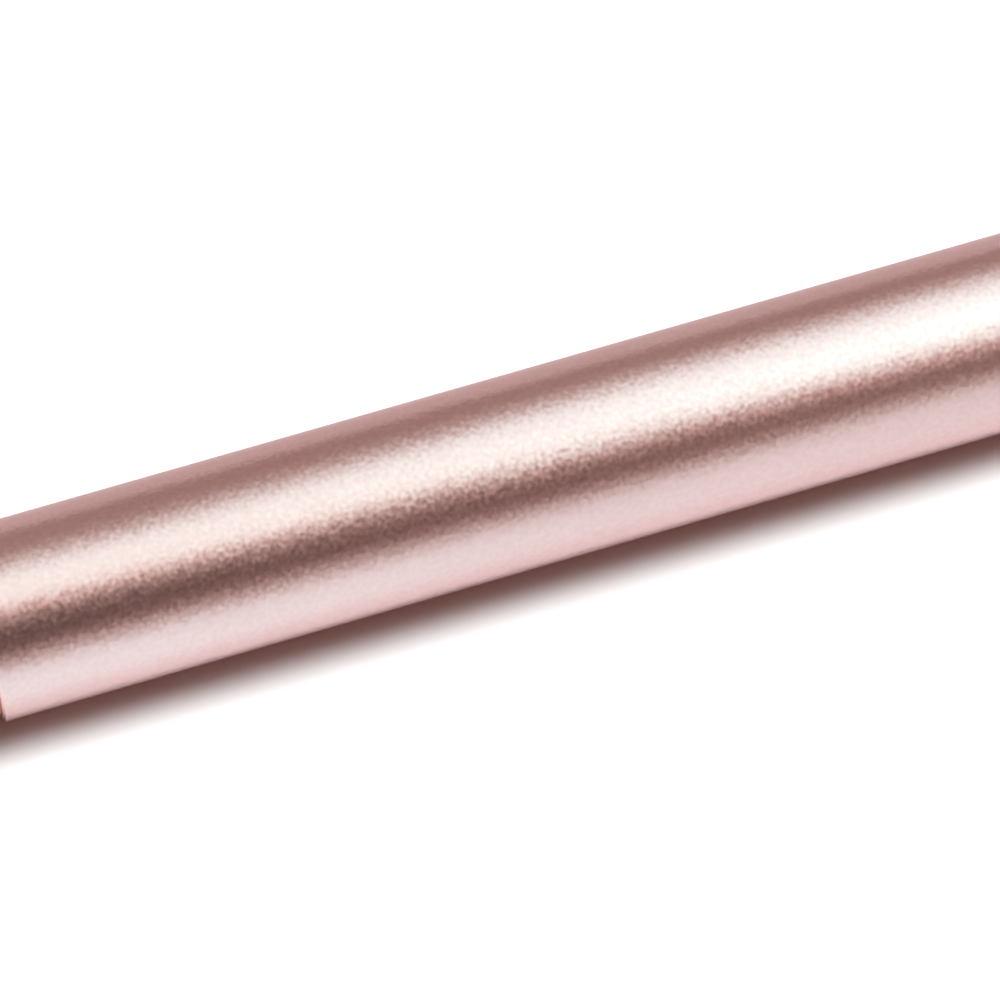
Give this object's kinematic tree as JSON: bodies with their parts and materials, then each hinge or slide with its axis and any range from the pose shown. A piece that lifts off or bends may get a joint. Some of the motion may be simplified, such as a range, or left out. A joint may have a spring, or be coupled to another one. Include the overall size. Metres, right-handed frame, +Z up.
{
  "type": "sonic t-bar facial massager",
  "caption": "Slim round metal handle with a twist-on switch cap at the tail, a trumpet neck and a cross bar that a small motor inside shakes.",
  "frame": {"origin": "on the surface that the bar lies on, below the middle of its overall length and width", "axes": "+X along the handle from the tail cap to the cross bar, +Y along the cross bar, +Z up from the surface"},
  "size_m": [0.152, 0.038, 0.016],
  "materials": {
    "satin_rose": "bead-blasted and anodised rose",
    "polished_rose": "polished and plated rose",
    "copper_brass": "turned, copper tone",
    "bronze": "sintered",
    "copper_wire": "enamelled winding",
    "contact_metal": "stamped and plated",
    "zinc_steel": "zinc plated",
    "nickel_steel": "nickel plated",
    "lamination_steel": "bare",
    "cell_metal": "bright",
    "cell_label": "shrink film",
    "ferrite": "sintered",
    "white_plastic": "moulded",
    "black_plastic": "moulded",
    "gasket": "silicone",
    "dark_rubber": "matt",
    "red_lead": "insulation",
    "black_lead": "insulation"
  },
  "bodies": {
    "handle": {"handle_tube": "satin_rose", "neck": "polished_rose", "neck_gasket": "gasket", "crossbar": "polished_rose", "head_screw": "zinc_steel", "head_washer": "zinc_steel", "motor_boot": "dark_rubber", "motor_can": "nickel_steel", "motor_bushes": "bronze", "motor_magnets": "ferrite", "motor_end_bell": "white_plastic", "motor_terminals": "contact_metal", "chassis": "black_plastic", "positive_contact": "contact_metal", "ground_clip": "contact_metal", "lead_positive": "red_lead", "lead_negative": "black_lead"},
    "rotor": {"motor_shaft": "nickel_steel", "armature_core": "lamination_steel", "armature_coils": "copper_wire", "commutator": "copper_brass", "eccentric_weight": "lamination_steel"},
    "cell": {"cell_jacket": "cell_label", "cell_can": "cell_metal", "cell_terminal": "nickel_steel"},
    "spring": {"contact_spring": "nickel_steel"},
    "seal": {"cap_seal": "dark_rubber"},
    "tail": {"tail_cap": "satin_rose", "thread_plug": "copper_brass"}
  },
  "joints": [
    {"name": "rotor_spin", "type": "hinge", "parent": "handle", "child": "rotor", "pos_m": [0.04, 0, 0.008], "axis": [1, 0, 0], "continuous": true},
    {"name": "cap_off", "type": "slide", "parent": "handle", "child": "spring", "axis": [-1, 0, 0], "range_m": [0, 0.1]},
    {"name": "cap_travel", "type": "slide", "parent": "spring", "child": "seal", "axis": [1, 0, 0], "range_m": [0, 0.000251], "deforming": ["contact_spring"]},
    {"name": "cap_turn", "type": "hinge", "parent": "seal", "child": "tail", "pos_m": [-0.065, 0, 0.008], "axis": [1, 0, 0], "range_deg": [0, 90]},
    {"name": "cell_slide", "type": "slide", "parent": "handle", "child": "cell", "axis": [-1, 0, 0], "range_m": [0, 0.0601]}
  ],
  "couplings": [
    {"joint": "cap_travel", "follows": "cap_turn", "m_per_rad": 0.00015915},
    {"joint": "cell_slide", "follows": "cap_off", "ratio": 0.6}
  ]
}
